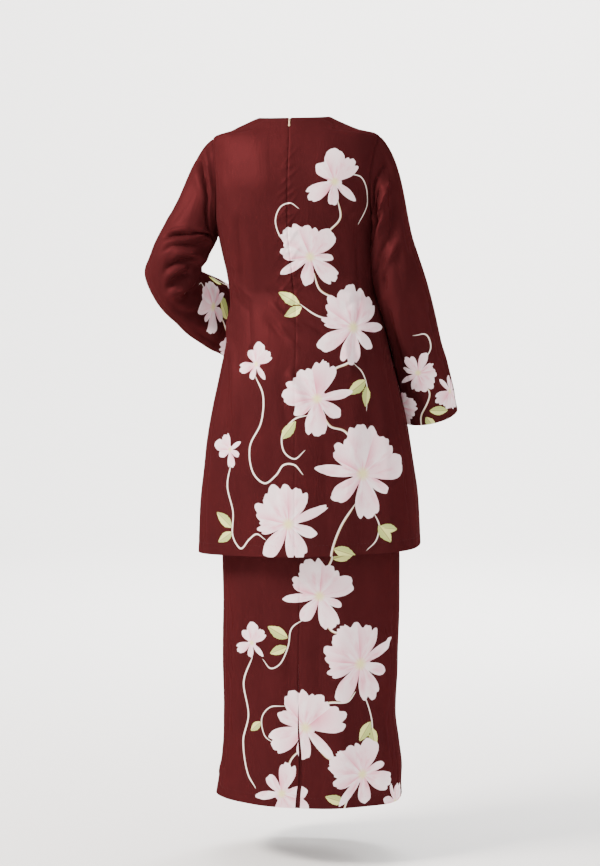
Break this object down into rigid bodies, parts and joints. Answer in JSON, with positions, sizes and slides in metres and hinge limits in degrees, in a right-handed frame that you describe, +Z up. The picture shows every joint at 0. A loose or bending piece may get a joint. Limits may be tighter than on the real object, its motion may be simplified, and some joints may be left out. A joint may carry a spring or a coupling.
{
  "type": "baju kurung",
  "caption": "Worn two-piece baju kurung: a knee-length tunic with set-in sleeves and a back zip over a long straight skirt with a back vent. Open hollow form, no wearer.",
  "frame": {"origin": "middle of the shoulder line at the neck, where the wearer's shoulders carry the tunic", "axes": "+Z up, the front faces -Y, +X is the wearer's left"},
  "size_m": [0.6315, 0.3857, 1.3848],
  "materials": {
    "maroon_crepe": "soft satin-backed crepe, printed with pale blossoms",
    "zip_tape": "woven polyester tape",
    "zip_metal": "pale beige enamel on die-cast metal"
  },
  "bodies": {
    "garment": {"tunic_front_left": "maroon_crepe", "tunic_front_right": "maroon_crepe", "tunic_back_left_upper": "maroon_crepe", "tunic_back_left_lower": "maroon_crepe", "tunic_back_right_upper": "maroon_crepe", "tunic_back_right_lower": "maroon_crepe", "sleeve_left": "maroon_crepe", "sleeve_right_upper": "maroon_crepe", "sleeve_right_lower": "maroon_crepe", "zip_tape_left": "zip_tape", "zip_tape_right": "zip_tape", "zip_slider": "zip_metal", "skirt_front": "maroon_crepe", "skirt_back_left": "maroon_crepe", "skirt_back_right": "maroon_crepe", "skirt_vent_underlap": "maroon_crepe", "skirt_waistband": "maroon_crepe"},
    "zip_pull": {"zip_pull": "zip_metal"}
  },
  "joints": [
    {"name": "zip_pull_swing", "type": "hinge", "parent": "garment", "child": "zip_pull", "pos_m": [0.00503, 0.05969, -0.01075], "axis": [0.9981, 0.0363, -0.0497], "range_deg": [0, 160]}
  ]
}
